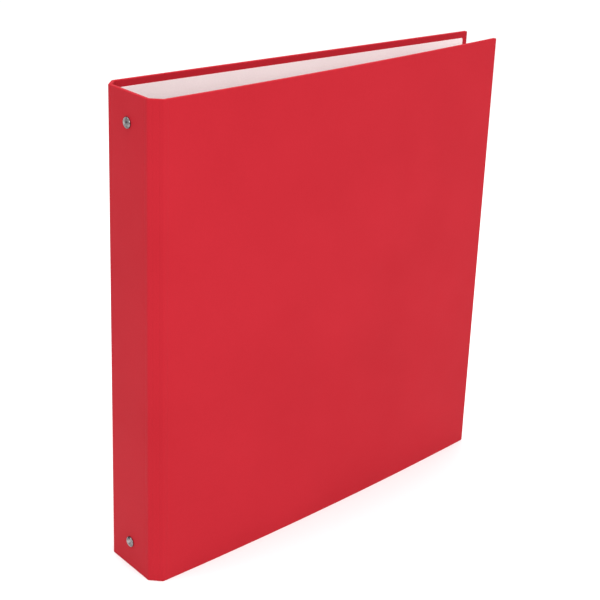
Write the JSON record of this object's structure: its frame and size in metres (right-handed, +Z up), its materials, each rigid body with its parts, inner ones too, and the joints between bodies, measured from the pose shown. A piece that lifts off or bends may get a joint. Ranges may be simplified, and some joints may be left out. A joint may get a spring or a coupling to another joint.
{
  "type": "ring binder",
  "caption": "Upright paper-covered board ring binder with hinged corner strips, domed spine rivets and a snap-ring mechanism opened by end levers.",
  "frame": {"origin": "middle of the bottom edge of the spine wall", "axes": "+X from the spine to the fore-edge, front cover on the -Y side, +Z up"},
  "size_m": [0.2739, 0.0497, 0.2921],
  "materials": {
    "cover_paper": "smooth matte red covering paper",
    "board": "raw grey board",
    "liner_paper": "matte off-white lining paper",
    "nickel_steel": "nickel-plated steel"
  },
  "bodies": {
    "spine": {"spine_paper": "cover_paper", "spine_board": "board", "spine_liner": "liner_paper", "ring_housing": "nickel_steel", "bottom_lever_pin": "nickel_steel", "bottom_rivet": "nickel_steel", "bottom_rivet_spacer": "nickel_steel", "top_lever_pin": "nickel_steel", "top_rivet": "nickel_steel", "top_rivet_spacer": "nickel_steel"},
    "front_strip": {"front_strip_paper": "cover_paper", "front_strip_board": "board", "front_strip_liner": "liner_paper"},
    "front_cover": {"front_cover_paper": "cover_paper", "front_cover_board": "board", "front_cover_liner": "liner_paper"},
    "back_strip": {"back_strip_paper": "cover_paper", "back_strip_board": "board", "back_strip_liner": "liner_paper"},
    "back_cover": {"back_cover_paper": "cover_paper", "back_cover_board": "board", "back_cover_liner": "liner_paper"},
    "front_leaf": {"front_hinge_plate": "nickel_steel", "front_ring_bottom": "nickel_steel", "front_ring_middle": "nickel_steel", "front_ring_top": "nickel_steel"},
    "back_leaf": {"back_hinge_plate": "nickel_steel", "back_ring_bottom": "nickel_steel", "back_ring_middle": "nickel_steel", "back_ring_top": "nickel_steel"},
    "bottom_lever": {"bottom_lever": "nickel_steel"},
    "top_lever": {"top_lever": "nickel_steel"}
  },
  "joints": [
    {"name": "front_spine_crease", "type": "hinge", "parent": "spine", "child": "front_strip", "pos_m": [-0.00105, -0.0183, 0.14605], "axis": [0, 0, -1], "range_deg": [0, 45]},
    {"name": "front_cover_crease", "type": "hinge", "parent": "front_strip", "child": "front_cover", "pos_m": [0.00535, -0.0247, 0.14605], "axis": [0, 0, -1], "range_deg": [0, 46.8]},
    {"name": "back_spine_crease", "type": "hinge", "parent": "spine", "child": "back_strip", "pos_m": [-0.00105, 0.0183, 0.14605], "axis": [0, 0, 1], "range_deg": [0, 45]},
    {"name": "back_cover_crease", "type": "hinge", "parent": "back_strip", "child": "back_cover", "pos_m": [0.00535, 0.0247, 0.14605], "axis": [0, 0, 1], "range_deg": [0, 48]},
    {"name": "ring_opening", "type": "hinge", "parent": "spine", "child": "front_leaf", "pos_m": [0.00385, -0.0112, 0.14605], "axis": [0, 0, -1], "range_deg": [0, 13.5]},
    {"name": "back_leaf_opening", "type": "hinge", "parent": "spine", "child": "back_leaf", "pos_m": [0.00385, 0.0112, 0.14605], "axis": [0, 0, 1], "range_deg": [0, 13.5]},
    {"name": "top_lever_turn", "type": "hinge", "parent": "spine", "child": "top_lever", "pos_m": [0.00445, 0, 0.28185], "axis": [0, -1, 0], "range_deg": [0, 17]},
    {"name": "bottom_lever_turn", "type": "hinge", "parent": "spine", "child": "bottom_lever", "pos_m": [0.00445, 0, 0.01025], "axis": [0, 1, 0], "range_deg": [0, 17]}
  ],
  "couplings": [
    {"joint": "back_leaf_opening", "follows": "ring_opening", "ratio": 1},
    {"joint": "top_lever_turn", "follows": "ring_opening", "ratio": 1.25},
    {"joint": "bottom_lever_turn", "follows": "ring_opening", "ratio": 1.25}
  ]
}
